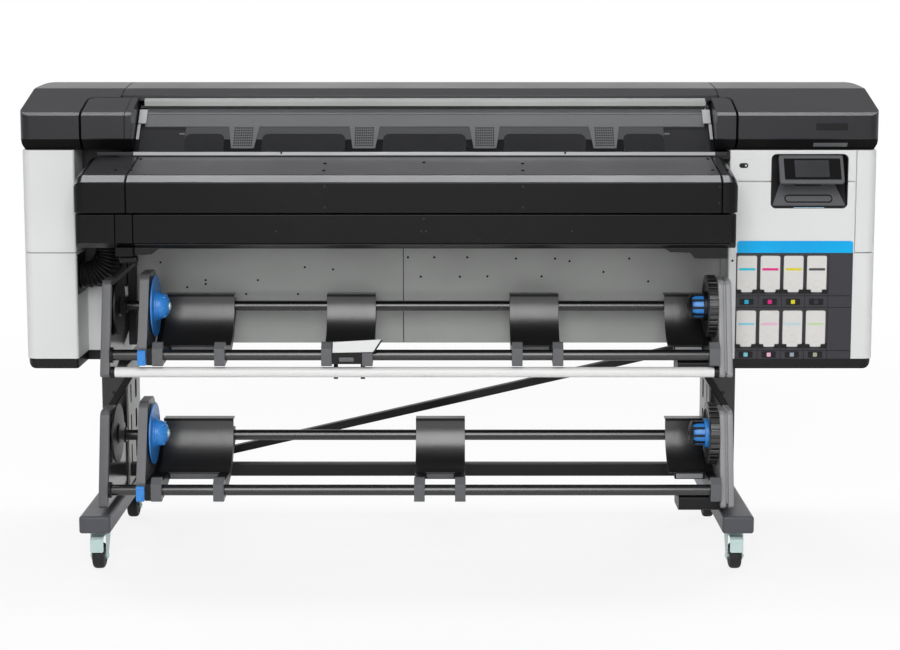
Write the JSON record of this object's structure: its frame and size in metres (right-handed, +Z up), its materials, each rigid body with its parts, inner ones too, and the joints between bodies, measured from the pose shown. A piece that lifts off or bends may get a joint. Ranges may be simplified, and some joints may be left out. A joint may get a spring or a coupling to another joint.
{
  "type": "wide-format roll printer",
  "caption": "Wide-format roll-to-roll printer on a wheeled stand, with ink cartridges, a tilting display, a hinged window and sliding roll holders above and below.",
  "frame": {"origin": "on the floor under the middle of the printer's bounding box", "axes": "+X to the operator's right along the platen, +Y from the operator's side to the back, +Z up"},
  "size_m": [2.584, 0.72, 1.414],
  "materials": {
    "white_panel": "fine-grained off-white moulded panel",
    "dark_cover": "satin charcoal moulded cover with a fine grain",
    "black_plastic": "black moulded plastic, slightly glossy",
    "grey_plastic": "dark grey moulded plastic",
    "stand_paint": "dark grey powder coat",
    "black_paint": "black powder coat",
    "sheet_metal": "plain grey coated sheet steel",
    "aluminium": "anodised aluminium",
    "zinc": "zinc-plated steel",
    "rubber": "black rubber",
    "blue_plastic": "blue moulded plastic that marks what is touched",
    "cartridge_plastic": "off-white moulded plastic",
    "smoked_glass": "smoke-tinted clear sheet",
    "bar_white": "white coated tube"
  },
  "bodies": {
    "printer": {"left_leg": "stand_paint", "right_leg": "stand_paint", "stand_crossbar": "black_paint", "diagonal_brace": "black_paint", "left_module_shell": "white_panel", "left_module_base": "black_plastic", "right_module_shell": "white_panel", "right_module_base": "black_plastic", "cartridge_bay": "grey_plastic", "display_tray": "grey_plastic", "left_end_cover": "dark_cover", "right_end_cover": "dark_cover", "rear_top_cover": "dark_cover", "front_cover": "dark_cover", "lower_fascia": "dark_cover", "print_beam": "aluminium", "media_pan": "sheet_metal", "air_hose": "rubber", "upper_left_plate": "stand_paint", "upper_right_plate": "stand_paint", "upper_front_rail": "black_paint", "upper_rear_rail": "black_paint", "lower_left_plate": "stand_paint", "lower_right_plate": "stand_paint", "lower_front_rail": "black_paint", "lower_rear_rail": "black_paint", "tension_bar": "bar_white"},
    "front_left_caster_fork": {"front_left_caster_fork": "zinc"},
    "front_right_caster_fork": {"front_right_caster_fork": "zinc"},
    "rear_left_caster_fork": {"rear_left_caster_fork": "zinc"},
    "rear_right_caster_fork": {"rear_right_caster_fork": "zinc"},
    "front_left_caster_wheel": {"front_left_caster_wheel": "rubber"},
    "front_right_caster_wheel": {"front_right_caster_wheel": "rubber"},
    "rear_left_caster_wheel": {"rear_left_caster_wheel": "rubber"},
    "rear_right_caster_wheel": {"rear_right_caster_wheel": "rubber"},
    "window": {"window": "smoked_glass"},
    "display": {"display": "black_plastic"},
    "power_button": {"power_button": "black_plastic"},
    "print_carriage": {"print_carriage": "black_plastic"},
    "sheet_cutter": {"sheet_cutter": "black_plastic"},
    "drive_roller": {"drive_roller": "rubber"},
    "ink_cartridge_1": {"ink_cartridge_1": "cartridge_plastic"},
    "ink_cartridge_2": {"ink_cartridge_2": "cartridge_plastic"},
    "ink_cartridge_3": {"ink_cartridge_3": "cartridge_plastic"},
    "ink_cartridge_4": {"ink_cartridge_4": "cartridge_plastic"},
    "ink_cartridge_5": {"ink_cartridge_5": "cartridge_plastic"},
    "ink_cartridge_6": {"ink_cartridge_6": "cartridge_plastic"},
    "ink_cartridge_7": {"ink_cartridge_7": "cartridge_plastic"},
    "ink_cartridge_8": {"ink_cartridge_8": "cartridge_plastic"},
    "upper_left_holder": {"upper_left_holder": "black_plastic"},
    "upper_left_hub": {"upper_left_hub": "blue_plastic"},
    "upper_lock_lever": {"upper_lock_lever": "blue_plastic"},
    "upper_right_hub": {"upper_right_hub": "black_plastic"},
    "upper_support_1": {"upper_support_1": "black_plastic"},
    "upper_support_2": {"upper_support_2": "black_plastic"},
    "lower_left_holder": {"lower_left_holder": "black_plastic"},
    "lower_left_hub": {"lower_left_hub": "blue_plastic"},
    "lower_lock_lever": {"lower_lock_lever": "blue_plastic"},
    "lower_right_hub": {"lower_right_hub": "black_plastic"},
    "lower_support_1": {"lower_support_1": "black_plastic"}
  },
  "joints": [
    {"name": "front_left_caster_swivel", "type": "hinge", "parent": "printer", "child": "front_left_caster_fork", "pos_m": [-1.03295, -0.265, 0.1207], "axis": [0, 0, 1], "continuous": true},
    {"name": "front_right_caster_swivel", "type": "hinge", "parent": "printer", "child": "front_right_caster_fork", "pos_m": [0.84155, -0.265, 0.1207], "axis": [0, 0, 1], "continuous": true},
    {"name": "rear_left_caster_swivel", "type": "hinge", "parent": "printer", "child": "rear_left_caster_fork", "pos_m": [-1.03295, 0.293, 0.1207], "axis": [0, 0, 1], "continuous": true},
    {"name": "rear_right_caster_swivel", "type": "hinge", "parent": "printer", "child": "rear_right_caster_fork", "pos_m": [0.84155, 0.293, 0.1207], "axis": [0, 0, 1], "continuous": true},
    {"name": "front_left_wheel_roll", "type": "hinge", "parent": "front_left_caster_fork", "child": "front_left_caster_wheel", "pos_m": [-1.03295, -0.293, 0.03768], "axis": [1, 0, 0], "continuous": true},
    {"name": "front_right_wheel_roll", "type": "hinge", "parent": "front_right_caster_fork", "child": "front_right_caster_wheel", "pos_m": [0.84155, -0.293, 0.03768], "axis": [1, 0, 0], "continuous": true},
    {"name": "rear_left_wheel_roll", "type": "hinge", "parent": "rear_left_caster_fork", "child": "rear_left_caster_wheel", "pos_m": [-1.03295, 0.265, 0.03768], "axis": [1, 0, 0], "continuous": true},
    {"name": "rear_right_wheel_roll", "type": "hinge", "parent": "rear_right_caster_fork", "child": "rear_right_caster_wheel", "pos_m": [0.84155, 0.265, 0.03768], "axis": [1, 0, 0], "continuous": true},
    {"name": "window_lift", "type": "hinge", "parent": "printer", "child": "window", "pos_m": [0, 0.0767, 1.3714], "axis": [-1, 0, 0], "range_deg": [0, 85]},
    {"name": "display_tilt", "type": "hinge", "parent": "printer", "child": "display", "pos_m": [1.08625, -0.0351, 1.1236], "axis": [1, 0, 0], "range_deg": [0, 20]},
    {"name": "power_button_press", "type": "slide", "parent": "printer", "child": "power_button", "axis": [0, 1, 0], "range_m": [0, 0.0015], "stiffness_N_per_m": 400},
    {"name": "carriage_travel", "type": "slide", "parent": "printer", "child": "print_carriage", "axis": [1, 0, 0], "range_m": [-1.8, 0]},
    {"name": "cutter_travel", "type": "slide", "parent": "printer", "child": "sheet_cutter", "axis": [1, 0, 0], "range_m": [0, 1.6]},
    {"name": "drive_roller_turn", "type": "hinge", "parent": "printer", "child": "drive_roller", "pos_m": [0, 0.095, 1.1787], "axis": [1, 0, 0], "continuous": true},
    {"name": "cartridge_1_pull", "type": "slide", "parent": "printer", "child": "ink_cartridge_1", "axis": [0, -1, 0], "range_m": [0, 0.19]},
    {"name": "cartridge_2_pull", "type": "slide", "parent": "printer", "child": "ink_cartridge_2", "axis": [0, -1, 0], "range_m": [0, 0.19]},
    {"name": "cartridge_3_pull", "type": "slide", "parent": "printer", "child": "ink_cartridge_3", "axis": [0, -1, 0], "range_m": [0, 0.19]},
    {"name": "cartridge_4_pull", "type": "slide", "parent": "printer", "child": "ink_cartridge_4", "axis": [0, -1, 0], "range_m": [0, 0.19]},
    {"name": "cartridge_5_pull", "type": "slide", "parent": "printer", "child": "ink_cartridge_5", "axis": [0, -1, 0], "range_m": [0, 0.19]},
    {"name": "cartridge_6_pull", "type": "slide", "parent": "printer", "child": "ink_cartridge_6", "axis": [0, -1, 0], "range_m": [0, 0.19]},
    {"name": "cartridge_7_pull", "type": "slide", "parent": "printer", "child": "ink_cartridge_7", "axis": [0, -1, 0], "range_m": [0, 0.19]},
    {"name": "cartridge_8_pull", "type": "slide", "parent": "printer", "child": "ink_cartridge_8", "axis": [0, -1, 0], "range_m": [0, 0.19]},
    {"name": "upper_holder_slide", "type": "slide", "parent": "printer", "child": "upper_left_holder", "axis": [1, 0, 0], "range_m": [-0.06, 0.08]},
    {"name": "upper_left_hub_turn", "type": "hinge", "parent": "upper_left_holder", "child": "upper_left_hub", "pos_m": [-0.8877, -0.14, 0.7586], "axis": [1, 0, 0], "continuous": true},
    {"name": "upper_lock_release", "type": "hinge", "parent": "upper_left_holder", "child": "upper_lock_lever", "pos_m": [-0.9015, -0.2743, 0.6415], "axis": [-1, 0, 0], "range_deg": [0, 60]},
    {"name": "upper_right_hub_turn", "type": "hinge", "parent": "printer", "child": "upper_right_hub", "pos_m": [0.7937, -0.14, 0.7586], "axis": [1, 0, 0], "continuous": true},
    {"name": "upper_support_1_slide", "type": "slide", "parent": "printer", "child": "upper_support_1", "axis": [1, 0, 0], "range_m": [-0.15, 0.2]},
    {"name": "upper_support_2_slide", "type": "slide", "parent": "printer", "child": "upper_support_2", "axis": [1, 0, 0], "range_m": [-0.18, 0.25]},
    {"name": "lower_holder_slide", "type": "slide", "parent": "printer", "child": "lower_left_holder", "axis": [1, 0, 0], "range_m": [-0.06, 0.2]},
    {"name": "lower_left_hub_turn", "type": "hinge", "parent": "lower_left_holder", "child": "lower_left_hub", "pos_m": [-0.8877, -0.205, 0.3854], "axis": [1, 0, 0], "continuous": true},
    {"name": "lower_lock_release", "type": "hinge", "parent": "lower_left_holder", "child": "lower_lock_lever", "pos_m": [-0.9015, -0.3393, 0.2515], "axis": [-1, 0, 0], "range_deg": [0, 60]},
    {"name": "lower_right_hub_turn", "type": "hinge", "parent": "printer", "child": "lower_right_hub", "pos_m": [0.7937, -0.205, 0.3854], "axis": [1, 0, 0], "continuous": true},
    {"name": "lower_support_1_slide", "type": "slide", "parent": "printer", "child": "lower_support_1", "axis": [1, 0, 0], "range_m": [-0.3, 0.5]}
  ]
}
